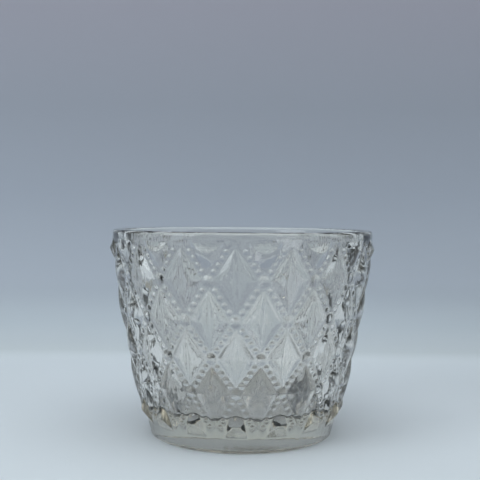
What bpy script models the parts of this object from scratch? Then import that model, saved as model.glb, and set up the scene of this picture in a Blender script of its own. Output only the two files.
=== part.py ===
"""A pressed-glass tealight holder, moulded as one open cup of clear glass.

Sizes in the constants are millimetres; the scene is in metres. The cup stands on z = 0 with its axis
on +Z. Its wall flares from a plain foot to a plain rim, and between them runs a lattice of pillowed
lozenges, parted by channels that hold rows of small beads, with one big bead at every crossing.
"""

import math

import bmesh
import bpy
from mathutils import Vector
from mathutils.geometry import delaunay_2d_cdt

MM = 0.001
WELD = 1e-6

REPEATS = 16
SIDES_PER_REPEAT = 3

# The underside and the rim, as (radius, height) from the middle of the underside to the rim's inner edge.
UNDERSIDE_RECESS = 0.5
UNDERSIDE = ((21.5, UNDERSIDE_RECESS), (23.8, 0.0), (27.6, 0.0), (28.2, 0.5))
RIM = ((40.0, 61.4), (39.7, 62.2), (38.9, 62.5), (38.0, 62.5), (37.2, 62.2), (36.7, 61.4))
CANDLE_FLOOR = 10.0
WALL = 3.2
INNER_CORNER = 1.5

# The bottom of the channels between the lozenges, as (height, radius).
GROUND = (
    (4.4, 29.1),
    (10.1, 30.9),
    (20.5, 33.3),
    (31.7, 35.3),
    (43.8, 37.5),
    (52.0, 38.7),
    (58.4, 39.4),
    (60.0, 40.0),
)
PATTERN_BOTTOM, PATTERN_TOP = GROUND[0][0], GROUND[-1][0]

# Heights of the six rows of crossings, top first. A lozenge is centred between two crossings of a row.
ROWS = (61.2, 49.4, 38.2, 27.8, 17.9, 4.7)
CROWN_LIFT = (1.6, 1.2, 1.25, 1.25, 1.1, 1.45)
LOZENGE_REACH = 0.8
SHOULDER_REACH, SHOULDER_LIFT = 0.42, 0.7

# The knobs under the rim and above the foot: half domes, cut off by a facet from the crown to the cut.
TOP_KNOB = {"cut": 59.9, "crown": 56.9, "tip": 52.6}
FOOT_KNOB = {"cut": 5.0, "crown": 8.2, "tip": 12.0}
KNOB_REACH = 0.54

# Where the small beads sit on a channel, as shares of its length. The outermost channels are longer.
BEADS_ON_CHANNEL = (0.239, 0.414, 0.586, 0.761)
BEADS_UNDER_RIM = (0.33, 0.48, 0.635, 0.785)
BEADS_ABOVE_FOOT = (0.16, 0.3, 0.45, 0.6, 0.74)
# A bead's rings are (share of its radius, share of its lift), from the ground up.
SMALL_BEAD = {"radius": 0.85, "lift": 0.38, "sides": 4, "rings": ((1.0, 0.0),)}
BIG_BEAD = {"radius": 1.65, "lift": 0.75, "sides": 6, "rings": ((1.0, 0.0), (0.62, 0.65))}


def ground_radius(height):
    for (low, low_radius), (high, high_radius) in zip(GROUND, GROUND[1:]):
        if height <= high:
            return low_radius + (high_radius - low_radius) * (height - low) / (high - low)
    return GROUND[-1][1]


def repeat_width(height):
    """Arc length of one repeat at this height."""
    return ground_radius(height) * 2 * math.pi / REPEATS


class Sheet:
    """One repeat of the pattern, unrolled: across in repeats from -0.5 to 0.5, height and lift in mm."""

    def __init__(self):
        self.points = []
        self.edges = []

    def add(self, across, height, lift=0.0):
        """Adds a point and returns its number, or None where it falls in the next repeat."""
        if abs(across) > 0.5 + WELD:
            return None
        self.points.append((across, height, lift))
        return len(self.points) - 1

    def join(self, numbers, closed=True):
        following = numbers[1:] + numbers[:1] if closed else numbers[1:]
        for first, second in zip(numbers, following):
            if first is not None and second is not None:
                self.edges.append((first, second))

    def triangles(self):
        """(points, triangles) of the sheet, with every joined pair of points as an edge."""
        width = repeat_width(ROWS[2])
        flat = [Vector((across * width, height)) for across, height, _ in self.points]
        placed, _, faces, origins, _, _ = delaunay_2d_cdt(flat, self.edges, [], 0, 1e-5)
        lifted = []
        for place, origin in zip(placed, origins):
            lift = self.points[origin[0]][2] if origin else 0.0
            lifted.append((place.x / width, place.y, lift))
        return lifted, faces


def crossing_offset(row):
    """Where across the repeat this row has its crossings: in the middle, or on both borders."""
    return (0.0,) if row % 2 else (-0.5, 0.5)


def lozenge_offset(row):
    return crossing_offset(row + 1)


def add_bead(sheet, across, height, bead):
    """A dome of rings round its top, the first of them on the ground."""
    width = repeat_width(height)
    for reach, share in bead["rings"]:
        ring = []
        for side in range(bead["sides"]):
            angle = math.pi / 2 + 2 * math.pi * side / bead["sides"]
            shift = bead["radius"] * reach * math.cos(angle) / width
            rise = bead["radius"] * reach * math.sin(angle)
            ring.append(sheet.add(across + shift, height + rise, bead["lift"] * share))
        sheet.join(ring)
    sheet.add(across, height, bead["lift"])


def add_small_beads(sheet, row, shares):
    """The beads along the channels that run from this row's crossings to the next row's."""
    for start in crossing_offset(row):
        for end in (start - 0.5, start + 0.5):
            for share in shares:
                across = start + (end - start) * share
                height = ROWS[row] + (ROWS[row + 1] - ROWS[row]) * share
                add_bead(sheet, across, height, SMALL_BEAD)


def add_mirrored_loop(sheet, across, start, right_side, end):
    """A closed loop of (shift, height, lift) points: start, the right side, end, and its mirror image back."""
    left_side = [(-shift, height, lift) for shift, height, lift in reversed(right_side)]
    loop = [start] + right_side + [end] + left_side
    numbers = [sheet.add(across + shift, height, lift) for shift, height, lift in loop]
    sheet.join(numbers)
    return numbers


def add_lozenge(sheet, across, row):
    """A whole lozenge: its outline on the ground, a shoulder inside it, and creases through the crown."""
    centre, above, below = ROWS[row], ROWS[row - 1] - ROWS[row], ROWS[row] - ROWS[row + 1]
    loops = []
    for reach, lift in ((LOZENGE_REACH, 0.0), (SHOULDER_REACH, SHOULDER_LIFT * CROWN_LIFT[row])):
        top = (0.0, centre + above * reach, lift)
        corner = (reach / 2, centre, lift)
        bottom = (0.0, centre - below * reach, lift)
        loops.append(add_mirrored_loop(sheet, across, top, [corner], bottom))
    crown = sheet.add(across, centre, CROWN_LIFT[row])
    for tip, shoulder in zip(*loops):
        sheet.join([tip, shoulder, crown], closed=False)


def add_knob(sheet, across, row, knob):
    """Half a dome under an arched outline, with a slanting facet from its crown to the rim or the foot."""
    cut, crown, tip = knob["cut"], knob["crown"], knob["tip"]
    crown_lift = CROWN_LIFT[row]

    def squared_off_tip(height):
        return 1 - ((height - cut) / (tip - cut)) ** 2

    def half_width(height):
        return KNOB_REACH / 2 * math.sqrt(squared_off_tip(height))

    def dome(height):
        return crown_lift * squared_off_tip(height) / squared_off_tip(crown)

    shoulder = (crown + tip) / 2
    outline = add_mirrored_loop(
        sheet,
        across,
        (0.0, cut, 0.0),
        [(half_width(height), height, 0.0) for height in (cut, crown, shoulder)],
        (0.0, tip, 0.0),
    )
    top = sheet.add(across, crown, crown_lift)
    ridge = sheet.add(across, shoulder, dome(shoulder))
    sheet.join([top, ridge, outline[4]], closed=False)

    facet_middle = (cut + crown) / 2
    facet_reach = half_width(facet_middle) * math.sqrt(1 - crown_lift / 2 / dome(facet_middle))
    for side, cut_corner, flank in ((1, outline[1], outline[2]), (-1, outline[-1], outline[-2])):
        facet_edge = sheet.add(across + side * facet_reach, facet_middle, crown_lift / 2)
        sheet.join([cut_corner, facet_edge, top], closed=False)
        bulge = sheet.add(across + side * half_width(crown) / 2, crown, crown_lift * 0.75)
        sheet.join([flank, bulge, top], closed=False)


def pattern_sheet():
    sheet = Sheet()
    for height in (PATTERN_BOTTOM, PATTERN_TOP):
        for side in range(SIDES_PER_REPEAT + 1):
            sheet.add(side / SIDES_PER_REPEAT - 0.5, height)
    for row in range(1, len(ROWS) - 1):
        for across in crossing_offset(row):
            add_bead(sheet, across, ROWS[row], BIG_BEAD)
        for across in lozenge_offset(row):
            add_lozenge(sheet, across, row)
    last = len(ROWS) - 1
    for row in range(last):
        shares = {0: BEADS_UNDER_RIM, last - 1: BEADS_ABOVE_FOOT}.get(row, BEADS_ON_CHANNEL)
        add_small_beads(sheet, row, shares)
    for across in lozenge_offset(0):
        add_knob(sheet, across, 0, TOP_KNOB)
    for across in lozenge_offset(last):
        add_knob(sheet, across, last, FOOT_KNOB)
    return sheet


def around(radius, height, turn):
    """The place at this radius, turned from the front, -Y, towards +X."""
    return Vector((radius * math.sin(turn), -radius * math.cos(turn), height)) * MM


def add_pattern(mesh):
    points, triangles = pattern_sheet().triangles()
    for repeat in range(REPEATS):
        verts = []
        for across, height, lift in points:
            turn = (repeat + across) * 2 * math.pi / REPEATS
            verts.append(mesh.verts.new(around(ground_radius(height) + lift, height, turn)))
        for corners in triangles:
            mesh.faces.new([verts[corner] for corner in corners])


def add_ring(mesh, radius, height):
    sides = REPEATS * SIDES_PER_REPEAT
    start = -math.pi / REPEATS
    turns = [start + 2 * math.pi * side / sides for side in range(sides)]
    return [mesh.verts.new(around(radius, height, turn)) for turn in turns]


def add_surface(mesh, profile):
    """A smooth surface of revolution through these (radius, height) points, solid on its left side."""
    rings = [add_ring(mesh, radius, height) for radius, height in profile]
    for lower, upper in zip(rings, rings[1:]):
        for here, after in zip(range(len(lower)), list(range(1, len(lower))) + [0]):
            mesh.faces.new((lower[here], lower[after], upper[after], upper[here]))
    return rings


def add_disc(mesh, ring, height, facing_up):
    middle = mesh.verts.new((0.0, 0.0, height * MM))
    for first, second in zip(ring, ring[1:] + ring[:1]):
        mesh.faces.new((first, second, middle) if facing_up else (second, first, middle))


def inside_wall():
    """The inside follows the channels outside, a wall's thickness in, from the rim down to the inner corner."""
    heights = [height for height, _ in GROUND if height > CANDLE_FLOOR + INNER_CORNER][:-1]
    return [(ground_radius(height) - WALL, height) for height in reversed(heights)]


def inner_corner(above, steps=4):
    """An arc that leaves the wall in the direction it has there, and ends flat on the candle floor."""
    start_height = CANDLE_FLOOR + INNER_CORNER
    start = Vector((ground_radius(start_height) - WALL, start_height))
    lean = math.atan2(above[0] - start.x, above[1] - start.y)
    radius = INNER_CORNER / (1 - math.sin(lean))
    middle = (start.x - radius * math.cos(lean), CANDLE_FLOOR + radius)
    curve = []
    for step in range(steps + 1):
        angle = -lean - (math.pi / 2 - lean) * step / steps
        curve.append((middle[0] + radius * math.cos(angle), middle[1] + radius * math.sin(angle)))
    return curve


def inside_profile():
    wall = inside_wall()
    outer_edge = (ground_radius(PATTERN_TOP), PATTERN_TOP)
    return [outer_edge, *RIM, *wall, *inner_corner(wall[-1])]


def clear_glass():
    material = bpy.data.materials.new("clear_glass")
    material.use_nodes = True
    shader = material.node_tree.nodes["Principled BSDF"]
    shader.inputs["Base Color"].default_value = (0.86, 0.9, 0.88, 1.0)
    shader.inputs["Roughness"].default_value = 0.05
    shader.inputs["IOR"].default_value = 1.5
    shader.inputs["Transmission Weight"].default_value = 1.0
    return material


def glass_cup():
    mesh = bmesh.new()
    add_pattern(mesh)
    foot = add_surface(mesh, UNDERSIDE + ((ground_radius(PATTERN_BOTTOM), PATTERN_BOTTOM),))
    add_disc(mesh, foot[0], UNDERSIDE_RECESS, facing_up=False)
    inside = add_surface(mesh, inside_profile())
    add_disc(mesh, inside[-1], CANDLE_FLOOR, facing_up=True)
    bmesh.ops.remove_doubles(mesh, verts=mesh.verts, dist=WELD)
    data = bpy.data.meshes.new("glass_cup")
    mesh.to_mesh(data)
    mesh.free()
    data.polygons.foreach_set("use_smooth", [True] * len(data.polygons))
    data.set_sharp_from_angle(angle=math.radians(35))
    data.materials.append(clear_glass())
    cup = bpy.data.objects.new("glass_cup", data)
    bpy.context.scene.collection.objects.link(cup)


def main():
    for old in list(bpy.data.objects):
        bpy.data.objects.remove(old, do_unlink=True)
    glass_cup()


main()
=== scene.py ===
"""The looks of the pressed-glass tealight holder: a fine mesh, its glass, and the studio round it."""

import math

import bmesh
import bpy
from mathutils import Matrix, Vector
from mathutils.geometry import delaunay_2d_cdt


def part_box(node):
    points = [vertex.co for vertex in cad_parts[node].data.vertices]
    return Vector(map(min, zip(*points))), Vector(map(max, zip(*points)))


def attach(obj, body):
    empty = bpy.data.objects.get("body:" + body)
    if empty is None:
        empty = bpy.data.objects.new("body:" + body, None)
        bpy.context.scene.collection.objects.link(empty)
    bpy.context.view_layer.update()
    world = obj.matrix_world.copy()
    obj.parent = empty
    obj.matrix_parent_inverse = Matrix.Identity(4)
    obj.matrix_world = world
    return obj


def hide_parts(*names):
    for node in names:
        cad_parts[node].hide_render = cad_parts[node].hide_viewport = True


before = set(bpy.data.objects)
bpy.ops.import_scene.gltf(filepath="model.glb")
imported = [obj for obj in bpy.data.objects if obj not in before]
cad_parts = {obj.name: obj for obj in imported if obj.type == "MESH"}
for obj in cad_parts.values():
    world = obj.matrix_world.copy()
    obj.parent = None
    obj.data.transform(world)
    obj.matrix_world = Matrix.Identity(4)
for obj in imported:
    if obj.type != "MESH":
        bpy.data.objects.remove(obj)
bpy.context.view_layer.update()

LOW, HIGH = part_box("glass_cup")

# Sizes are in millimetres of the design, which is as high as the CAD cup.
DESIGN_HEIGHT = 62.5
MM = (HIGH.z - LOW.z) / DESIGN_HEIGHT
BASE = Vector(((LOW.x + HIGH.x) / 2, (LOW.y + HIGH.y) / 2, LOW.z))
WELD = 1e-7

# How closely the unrolled pattern is cut up: the spacing of its points, the distance at which two points
# become one, and how far past the edge of a repeat, in repeats, a point still belongs to it.
GRID = 0.42
SAME_POINT = 1e-5
EDGE_SLACK = 1e-6

REPEATS = 16
SIDES_PER_REPEAT = 12

# The underside: a recess, the flat ring round it that the cup stands on, and the foot's lower edge.
UNDERSIDE_RECESS = 0.5
RECESS_RADIUS, RECESS_FILLET = 21.5, 1.0
STANDING_RING, RING_FILLET = (23.8, 27.6), 0.4
FOOT_ROUNDING = 0.5

# The inside and the rim. RIM_TOP is the rim's outer edge as (radius, height), before it is rounded.
CANDLE_FLOOR = 10.0
WALL = 3.2
INNER_CORNER = 1.5
RIM_TOP, RIM_WIDTH, RIM_ROUNDING = (40.0, 62.5), 3.1, 1.1

# The bottom of the channels between the lozenges, as (height, radius).
GROUND = (
    (4.4, 29.1),
    (10.1, 30.9),
    (20.5, 33.3),
    (31.7, 35.3),
    (43.8, 37.5),
    (52.0, 38.7),
    (58.4, 39.4),
    (60.0, 40.0),
)
PATTERN_BOTTOM, PATTERN_TOP = GROUND[0][0], GROUND[-1][0]

# Heights of the six rows of crossings, top first. A lozenge is centred between two crossings of a row.
ROWS = (61.2, 49.4, 38.2, 27.8, 17.9, 4.7)
CROWN_LIFT = (1.6, 1.2, 1.25, 1.25, 1.1, 1.45)
LOZENGE_REACH = 0.8
CREASE_DEPTH, CREASE_WIDTH = 0.1, 0.5

# The knobs under the rim and above the foot: half domes, cut off by a facet from the crown to the cut.
TOP_KNOB = {"cut": 59.9, "crown": 56.9, "tip": 52.6}
FOOT_KNOB = {"cut": 5.0, "crown": 8.2, "tip": 12.0}
KNOB_REACH = 0.54

# Where the small beads sit on a channel, as shares of its length. The outermost channels are longer.
BEADS_ON_CHANNEL = (0.239, 0.414, 0.586, 0.761)
BEADS_UNDER_RIM = (0.33, 0.48, 0.635, 0.785)
BEADS_ABOVE_FOOT = (0.16, 0.3, 0.45, 0.6, 0.74)
SMALL_BEAD = {"radius": 0.8, "lift": 0.38, "sides": 12}
BIG_BEAD = {"radius": 1.6, "lift": 0.75, "sides": 20}
# A bead's rings from its fillet to near its top, as shares of its radius and lift.
BEAD_RINGS = ((1.12, 0.0), (0.96, 0.12), (0.75, 0.46), (0.5, 0.76), (0.25, 0.94))

# The glass: its tint at a surface, and how it takes light away inside, where the colour says how much of
# each colour is left, and the density how quickly.
SURFACE_TINT = (0.955, 0.94, 0.92, 1.0)
INNER_TINT, INNER_DENSITY = (0.888, 0.866, 0.812, 1.0), 43.0
GLASS_IOR = 1.5
# Patches of duller surface, and fine upright ripples with their depth in metres.
DULLEST, DULL_PATCH_SCALE = 0.09, 60.0
RIPPLE_SCALE, RIPPLE_UPRIGHT = 700.0, 8.0
RIPPLE_STRENGTH, RIPPLE_DEPTH = 0.2, 0.0004

# The camera, close to the cup: how far it is from the cup's axis and above the table.
CAMERA_DISTANCE = 255.5
CAMERA_HEIGHT = 67.9
CAMERA_AZIMUTH = math.radians(-8.8)
CAMERA_PITCH = math.radians(1.95)
CAMERA_YAW = math.radians(0.165)
CAMERA_ROLL = math.radians(0.46)
CAMERA_LENS, CAMERA_SENSOR = 61.5, 36.0

# The studio is in metres. A table curves up into a backdrop.
TABLE_BEHIND, TABLE_BEFORE, TABLE_WIDTH = 0.145, 0.4, 1.2
SWEEP_RADIUS, SWEEP_STEPS = 0.03, 12
BACKDROP_HEIGHT = 0.7
PAPER_ROUGHNESS, PAPER_SPECULAR = 0.85, 0.2
# The paper's colour by height up the backdrop, as a share of its height. Past the table it is painted
# shade: the upright paper darker than the table, and darker still going up, where the light falls off.
PAPER_WITH_PAINTED_SHADE = (
    (0.0, (0.64, 0.68, 0.72, 1.0)),
    (0.003, (0.52, 0.56, 0.59, 1.0)),
    (0.008, (0.49, 0.53, 0.57, 1.0)),
    (0.02, (0.46, 0.505, 0.555, 1.0)),
    (0.05, (0.45, 0.485, 0.55, 1.0)),
    (0.11, (0.36, 0.39, 0.455, 1.0)),
    (0.17, (0.31, 0.33, 0.385, 1.0)),
    (0.25, (0.32, 0.315, 0.37, 1.0)),
    (0.45, (0.245, 0.245, 0.28, 1.0)),
    (1.0, (0.18, 0.175, 0.21, 1.0)),
)

DAYLIGHT = (0.9, 0.97, 1.0)
OVERHEAD, OVERHEAD_SIZE = (0.0, -0.15, 0.55), (0.6, 0.6)
SIDE_LAMP_SIZE = (0.35, 0.45)
# The lamps as (name, place, size, power, whether it casts shadows). Real glass lets light through to the
# table under it, and the lamp without shadows stands in for that.
LAMPS = (
    ("top_softbox", OVERHEAD, OVERHEAD_SIZE, 2.25, True),
    ("top_fill", OVERHEAD, OVERHEAD_SIZE, 0.6, False),
    ("left_softbox", (-0.55, -0.25, 0.3), SIDE_LAMP_SIZE, 1.5, True),
    ("right_softbox", (0.55, -0.2, 0.3), SIDE_LAMP_SIZE, 0.4, True),
)
# The room round the table, as (direction along Y, strength): dimmer in front of the cup than elsewhere.
ROOM_COLOUR = (0.31, 0.33, 0.32, 1.0)
ROOM_IN_FRONT, ROOM_ELSEWHERE = (-0.9, 0.45), (-0.4, 0.9)


def ground_radius(height):
    for (low, low_radius), (high, high_radius) in zip(GROUND, GROUND[1:]):
        if height <= high:
            return low_radius + (high_radius - low_radius) * (height - low) / (high - low)
    return GROUND[-1][1]


def repeat_width(height):
    """Arc length of one repeat at this height."""
    return ground_radius(height) * 2 * math.pi / REPEATS


class Sheet:
    """One repeat of the pattern, unrolled: across in repeats from -0.5 to 0.5, height and lift in mm."""

    def __init__(self):
        self.points = []
        self.edges = []

    def add(self, across, height, lift=0.0):
        """Adds a point and returns its number, or None where it falls in the next repeat."""
        if abs(across) > 0.5 + EDGE_SLACK:
            return None
        self.points.append((across, height, lift))
        return len(self.points) - 1

    def join(self, numbers, closed=True):
        following = numbers[1:] + numbers[:1] if closed else numbers[1:]
        for first, second in zip(numbers, following):
            if first is not None and second is not None:
                self.edges.append((first, second))

    def triangles(self):
        """(points, triangles) of the sheet, with every joined pair of points as an edge."""
        width = repeat_width(ROWS[2])
        flat = [Vector((across * width, height)) for across, height, _ in self.points]
        placed, _, faces, origins, _, _ = delaunay_2d_cdt(flat, self.edges, [], 0, SAME_POINT)
        lifted = []
        for place, origin in zip(placed, origins):
            lift = self.points[origin[0]][2] if origin else 0.0
            lifted.append((place.x / width, place.y, lift))
        return lifted, faces


def crossing_offset(row):
    """Where across the repeat this row has its crossings: in the middle, or on both borders."""
    return (0.0,) if row % 2 else (-0.5, 0.5)


def lozenge_offset(row):
    return crossing_offset(row + 1)


def add_bead(sheet, across, height, bead):
    """A dome with a fillet round it."""
    width = repeat_width(height)
    for reach_share, lift_share in BEAD_RINGS:
        reach, lift = bead["radius"] * reach_share, bead["lift"] * lift_share
        ring = []
        for side in range(bead["sides"]):
            angle = math.pi / 2 + 2 * math.pi * side / bead["sides"]
            shift = reach * math.cos(angle) / width
            ring.append(sheet.add(across + shift, height + reach * math.sin(angle), lift))
        sheet.join(ring)
    sheet.add(across, height, bead["lift"])


def add_small_beads(sheet, row, shares):
    """The beads along the channels that run from this row's crossings to the next row's."""
    for start in crossing_offset(row):
        for end in (start - 0.5, start + 0.5):
            for share in shares:
                across = start + (end - start) * share
                height = ROWS[row] + (ROWS[row + 1] - ROWS[row]) * share
                add_bead(sheet, across, height, SMALL_BEAD)


def add_pillow(sheet, across, heights, half_width, lift, breaks=None):
    """Rows of points over a pillow.

    half_width(height) is in repeats. lift(height, share) is the lift at this share of the half width, and
    breaks(height) is the share at which a crease runs on both sides, or 0 where there is none.
    """
    edges = {side: [] for side in (-1, 1)}
    creases = {side: [] for side in (-1, 1)}
    for height in heights:
        reach = half_width(height)
        steps = max(1, math.ceil(reach * repeat_width(height) / GRID))
        for step in range(-steps, steps + 1):
            share = step / steps
            number = sheet.add(across + share * reach, height, lift(height, share))
            if share in edges:
                edges[share].append(number)
        crease = breaks(height) if breaks else 0.0
        for side in creases:
            if crease:
                place = across + side * crease * reach
                creases[side].append(sheet.add(place, height, lift(height, crease)))
    for line in (*edges.values(), *creases.values()):
        sheet.join(line, closed=False)


def spread(start, end, spacing):
    """Evenly spaced numbers from start to end, both included."""
    steps = max(1, round(abs(end - start) / spacing))
    return [start + (end - start) * step / steps for step in range(steps + 1)]


def add_lozenge(sheet, across, row):
    """A whole lozenge, crowned, with a fine crease down its middle."""
    centre = ROWS[row]
    top = centre + (ROWS[row - 1] - centre) * LOZENGE_REACH
    bottom = centre - (centre - ROWS[row + 1]) * LOZENGE_REACH

    def to_tip(height):
        return (height - centre) / ((top if height > centre else bottom) - centre)

    def half_width(height):
        return LOZENGE_REACH / 2 * (1 - to_tip(height))

    def lift(height, share):
        crest = CROWN_LIFT[row] * (1 - to_tip(height) ** 2)
        off_middle = abs(share) * half_width(height) * repeat_width(height)
        return crest * (1 - share**2 - CREASE_DEPTH * max(0.0, 1 - off_middle / CREASE_WIDTH))

    sheet.add(across, top)
    sheet.add(across, bottom)
    inner = spread(top, centre, GRID)[1:] + spread(centre, bottom, GRID)[1:-1]
    add_pillow(sheet, across, inner, half_width, lift)


def add_knob(sheet, across, row, knob):
    """Half a dome under an arched outline, with a slanting facet from its crown to the rim or the foot."""
    cut, crown, tip = knob["cut"], knob["crown"], knob["tip"]

    def squared_off_tip(height):
        return 1 - ((height - cut) / (tip - cut)) ** 2

    def half_width(height):
        return KNOB_REACH / 2 * math.sqrt(squared_off_tip(height))

    def facet(height):
        return CROWN_LIFT[row] * (height - cut) / (crown - cut)

    def dome(height):
        return CROWN_LIFT[row] * squared_off_tip(height) / squared_off_tip(crown)

    def lift(height, share):
        return min(facet(height), dome(height) * (1 - share**2))

    def facet_edge(height):
        return math.sqrt(max(0.0, 1 - facet(height) / dome(height)))

    sheet.add(across, tip)
    heights = spread(cut, crown, GRID) + spread(crown, tip, GRID)[1:-1]
    add_pillow(sheet, across, heights, half_width, lift, facet_edge)


def pattern_sheet():
    sheet = Sheet()
    for height in (PATTERN_BOTTOM, PATTERN_TOP):
        for side in range(SIDES_PER_REPEAT + 1):
            sheet.add(side / SIDES_PER_REPEAT - 0.5, height)
    for row in range(1, len(ROWS) - 1):
        for across in crossing_offset(row):
            add_bead(sheet, across, ROWS[row], BIG_BEAD)
        for across in lozenge_offset(row):
            add_lozenge(sheet, across, row)
    last = len(ROWS) - 1
    for row in range(last):
        shares = {0: BEADS_UNDER_RIM, last - 1: BEADS_ABOVE_FOOT}.get(row, BEADS_ON_CHANNEL)
        add_small_beads(sheet, row, shares)
    for across in lozenge_offset(0):
        add_knob(sheet, across, 0, TOP_KNOB)
    for across in lozenge_offset(last):
        add_knob(sheet, across, last, FOOT_KNOB)
    return sheet


def around(radius, height, turn):
    """The place at this radius, turned from the front, -Y, towards +X."""
    return BASE + Vector((radius * math.sin(turn), -radius * math.cos(turn), height)) * MM


def add_pattern(mesh):
    points, triangles = pattern_sheet().triangles()
    for repeat in range(REPEATS):
        verts = []
        for across, height, lift in points:
            turn = (repeat + across) * 2 * math.pi / REPEATS
            verts.append(mesh.verts.new(around(ground_radius(height) + lift, height, turn)))
        for corners in triangles:
            mesh.faces.new([verts[corner] for corner in corners])


def add_ring(mesh, radius, height):
    sides = REPEATS * SIDES_PER_REPEAT
    start = -math.pi / REPEATS
    turns = [start + 2 * math.pi * side / sides for side in range(sides)]
    return [mesh.verts.new(around(radius, height, turn)) for turn in turns]


def add_surface(mesh, profile):
    """A smooth surface of revolution through these (radius, height) points, with the glass on its left."""
    rings = [add_ring(mesh, radius, height) for radius, height in profile]
    for lower, upper in zip(rings, rings[1:]):
        for here, after in zip(range(len(lower)), list(range(1, len(lower))) + [0]):
            mesh.faces.new((lower[here], lower[after], upper[after], upper[here]))
    return rings


def add_disc(mesh, ring, height, facing_up):
    middle = mesh.verts.new(around(0.0, height, 0.0))
    for first, second in zip(ring, ring[1:] + ring[:1]):
        mesh.faces.new((first, second, middle) if facing_up else (second, first, middle))


def rounded(corner, before, after, radius, steps=6):
    """Points of a curve that rounds a corner of a profile, cutting this far back along both its sides."""
    corner, before, after = (Vector(point) for point in (corner, before, after))
    start = corner + (before - corner).normalized() * radius
    end = corner + (after - corner).normalized() * radius
    curve = []
    for step in range(steps + 1):
        share = step / steps
        point = start * (1 - share) ** 2 + corner * 2 * share * (1 - share) + end * share**2
        curve.append(tuple(point))
    return curve


def foot_profile():
    inner, outer = STANDING_RING
    recess = (RECESS_RADIUS, UNDERSIDE_RECESS)
    foot_edge = (outer + FOOT_ROUNDING, 0.0)
    top = (ground_radius(PATTERN_BOTTOM), PATTERN_BOTTOM)
    return (
        rounded(recess, (0.0, UNDERSIDE_RECESS), (inner, 0.0), RECESS_FILLET, 4)
        + rounded((inner, 0.0), recess, foot_edge, RING_FILLET, 3)
        + rounded(foot_edge, (inner, 0.0), top, FOOT_ROUNDING)
        + [top]
    )


def inside_wall():
    """The inside follows the channels outside, a wall's thickness in, from the rim down to the corner."""
    heights = [height for height, _ in GROUND if height > CANDLE_FLOOR + INNER_CORNER][:-1]
    return [(ground_radius(height) - WALL, height) for height in reversed(heights)]


def inner_corner(above, steps=14):
    """A true arc that leaves the wall in the direction it has there, and ends flat on the candle floor."""
    start_height = CANDLE_FLOOR + INNER_CORNER
    start = Vector((ground_radius(start_height) - WALL, start_height))
    lean = math.atan2(above[0] - start.x, above[1] - start.y)
    radius = INNER_CORNER / (1 - math.sin(lean))
    middle = (start.x - radius * math.cos(lean), CANDLE_FLOOR + radius)
    curve = []
    for step in range(steps + 1):
        angle = -lean - (math.pi / 2 - lean) * step / steps
        curve.append((middle[0] + radius * math.cos(angle), middle[1] + radius * math.sin(angle)))
    return curve


def inside_profile():
    radius, height = RIM_TOP
    inner_edge = (radius - RIM_WIDTH, height)
    wall = inside_wall()
    return (
        [(ground_radius(PATTERN_TOP), PATTERN_TOP)]
        + rounded(RIM_TOP, (radius, 0.0), inner_edge, RIM_ROUNDING)
        + rounded(inner_edge, RIM_TOP, wall[0], RIM_ROUNDING)
        + wall
        + inner_corner(wall[-1])
    )


def smooth_wave(tree, scale, upright=1.0):
    """Noise, drawn out this many times in height."""
    noise = tree.nodes.new("ShaderNodeTexNoise")
    noise.inputs["Scale"].default_value = scale
    squeeze = tree.nodes.new("ShaderNodeMapping")
    squeeze.inputs["Scale"].default_value = (1.0, 1.0, 1.0 / upright)
    place = tree.nodes.new("ShaderNodeTexCoord")
    tree.links.new(place.outputs["Object"], squeeze.inputs["Vector"])
    tree.links.new(squeeze.outputs["Vector"], noise.inputs["Vector"])
    return noise.outputs["Fac"]


def pressed_glass_material():
    """Clear glass, faintly grey-green, with the slight waves that a mould leaves."""
    material = bpy.data.materials.new("pressed_glass")
    material.use_nodes = True
    tree = material.node_tree
    shader = tree.nodes["Principled BSDF"]
    shader.inputs["Base Color"].default_value = SURFACE_TINT
    shader.inputs["IOR"].default_value = GLASS_IOR
    shader.inputs["Transmission Weight"].default_value = 1.0
    roughness = tree.nodes.new("ShaderNodeMapRange")
    roughness.inputs["To Min"].default_value = 0.0
    roughness.inputs["To Max"].default_value = DULLEST
    tree.links.new(smooth_wave(tree, DULL_PATCH_SCALE), roughness.inputs["Value"])
    tree.links.new(roughness.outputs["Result"], shader.inputs["Roughness"])
    bump = tree.nodes.new("ShaderNodeBump")
    bump.inputs["Strength"].default_value = RIPPLE_STRENGTH
    bump.inputs["Distance"].default_value = RIPPLE_DEPTH
    tree.links.new(smooth_wave(tree, RIPPLE_SCALE, RIPPLE_UPRIGHT), bump.inputs["Height"])
    tree.links.new(bump.outputs["Normal"], shader.inputs["Normal"])
    absorption = tree.nodes.new("ShaderNodeVolumeAbsorption")
    absorption.inputs["Color"].default_value = INNER_TINT
    absorption.inputs["Density"].default_value = INNER_DENSITY
    tree.links.new(absorption.outputs["Volume"], tree.nodes["Material Output"].inputs["Volume"])
    return material


def pressed_glass():
    mesh = bmesh.new()
    add_pattern(mesh)
    foot = add_surface(mesh, foot_profile())
    add_disc(mesh, foot[0], UNDERSIDE_RECESS, facing_up=False)
    inside = add_surface(mesh, inside_profile())
    add_disc(mesh, inside[-1], CANDLE_FLOOR, facing_up=True)
    bmesh.ops.remove_doubles(mesh, verts=mesh.verts, dist=WELD)
    data = bpy.data.meshes.new("pressed_glass")
    mesh.to_mesh(data)
    mesh.free()
    data.polygons.foreach_set("use_smooth", [True] * len(data.polygons))
    data.materials.append(pressed_glass_material())
    glass = bpy.data.objects.new("pressed_glass", data)
    bpy.context.scene.collection.objects.link(glass)
    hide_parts("glass_cup")
    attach(glass, "root")


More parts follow.
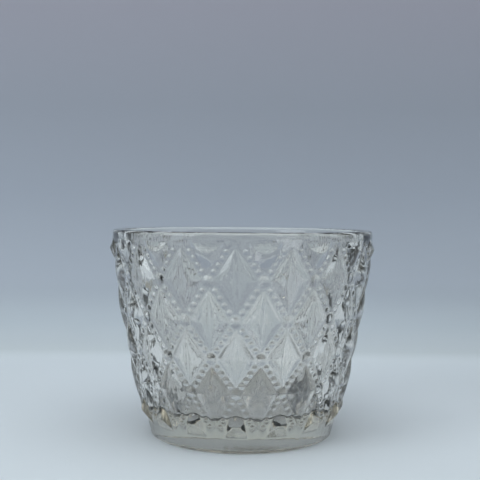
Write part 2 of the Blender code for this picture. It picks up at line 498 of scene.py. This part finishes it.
def stage_material():
    """Pale paper, with painted shade that darkens it up the backdrop."""
    material = bpy.data.materials.new("stage_paper")
    material.use_nodes = True
    tree = material.node_tree
    shader = tree.nodes["Principled BSDF"]
    shader.inputs["Roughness"].default_value = PAPER_ROUGHNESS
    shader.inputs["Specular IOR Level"].default_value = PAPER_SPECULAR
    place = tree.nodes.new("ShaderNodeTexCoord")
    split = tree.nodes.new("ShaderNodeSeparateXYZ")
    ramp = tree.nodes.new("ShaderNodeValToRGB")
    tree.links.new(place.outputs["Generated"], split.inputs["Vector"])
    tree.links.new(split.outputs["Z"], ramp.inputs["Fac"])
    tree.links.new(ramp.outputs["Color"], shader.inputs["Base Color"])
    # The ramp paints shade onto the paper: the table keeps its own colour, and the backdrop grows darker
    # with height.
    stops = ramp.color_ramp.elements
    stops[0].position, stops[0].color = PAPER_WITH_PAINTED_SHADE[0]
    stops[1].position, stops[1].color = PAPER_WITH_PAINTED_SHADE[-1]
    for position, colour in PAPER_WITH_PAINTED_SHADE[1:-1]:
        stops.new(position).color = colour
    return material


def backdrop():
    """Paper that lies flat in front, bends up behind the cup, and stands as the background."""
    bend = TABLE_BEHIND - SWEEP_RADIUS
    outline = [(-TABLE_BEFORE, 0.0)]
    for step in range(SWEEP_STEPS + 1):
        angle = math.pi / 2 * step / SWEEP_STEPS
        outline.append((bend + SWEEP_RADIUS * math.sin(angle), SWEEP_RADIUS * (1 - math.cos(angle))))
    outline.append((TABLE_BEHIND, BACKDROP_HEIGHT))
    data = bpy.data.meshes.new("backdrop")
    half = TABLE_WIDTH / 2
    verts = [(side * half, back, LOW.z + up) for back, up in outline for side in (-1, 1)]
    starts = range(0, len(verts) - 2, 2)
    faces = [(start, start + 1, start + 3, start + 2) for start in starts]
    data.from_pydata(verts, [], faces)
    data.polygons.foreach_set("use_smooth", [True] * len(data.polygons))
    data.materials.append(stage_material())
    paper = bpy.data.objects.new("backdrop", data)
    paper.rotation_euler.z = CAMERA_AZIMUTH
    bpy.context.scene.collection.objects.link(paper)


def add_lamp(name, place, size, power, casts_shadow):
    """A soft lamp that points at the middle of the cup."""
    light = bpy.data.lights.new(name, "AREA")
    light.shape = "RECTANGLE"
    light.size, light.size_y = size
    light.energy = power
    light.use_shadow = casts_shadow
    light.color = DAYLIGHT
    lamp = bpy.data.objects.new(name, light)
    aim = BASE + Vector((0.0, 0.0, DESIGN_HEIGHT / 2)) * MM
    lamp.location = place
    lamp.rotation_euler = (aim - Vector(place)).to_track_quat("-Z", "Y").to_euler()
    bpy.context.scene.collection.objects.link(lamp)


def room():
    world = bpy.data.worlds.new("studio")
    world.use_nodes = True
    tree = world.node_tree
    direction = tree.nodes.new("ShaderNodeTexCoord")
    split = tree.nodes.new("ShaderNodeSeparateXYZ")
    strength = tree.nodes.new("ShaderNodeMapRange")
    for end, (along_y, value) in (("Min", ROOM_IN_FRONT), ("Max", ROOM_ELSEWHERE)):
        strength.inputs["From " + end].default_value = along_y
        strength.inputs["To " + end].default_value = value
    tree.links.new(direction.outputs["Generated"], split.inputs["Vector"])
    tree.links.new(split.outputs["Y"], strength.inputs["Value"])
    background = tree.nodes["Background"]
    tree.links.new(strength.outputs["Result"], background.inputs["Strength"])
    background.inputs["Color"].default_value = ROOM_COLOUR
    bpy.context.scene.world = world


def add_camera():
    """A little above the rim and to the front's left, turned down a little, and not quite level."""
    data = bpy.data.cameras.new("camera")
    data.lens = CAMERA_LENS
    data.sensor_width = CAMERA_SENSOR
    data.clip_start = 0.01
    eye = BASE + Vector((0.0, 0.0, CAMERA_HEIGHT)) * MM
    eye += Matrix.Rotation(CAMERA_AZIMUTH, 3, "Z") @ Vector((0.0, -CAMERA_DISTANCE * MM, 0.0))
    turn = Matrix.Rotation(CAMERA_AZIMUTH + CAMERA_YAW, 4, "Z")
    tilt = Matrix.Rotation(math.pi / 2 - CAMERA_PITCH, 4, "X")
    roll = Matrix.Rotation(CAMERA_ROLL, 4, "Z")
    camera = bpy.data.objects.new("camera", data)
    camera.matrix_world = Matrix.Translation(eye) @ turn @ tilt @ roll
    bpy.context.scene.collection.objects.link(camera)
    bpy.context.scene.camera = camera


add_camera()
pressed_glass()
backdrop()
for lamp in LAMPS:
    add_lamp(*lamp)
room()
bpy.context.scene.view_settings.view_transform = "Standard"
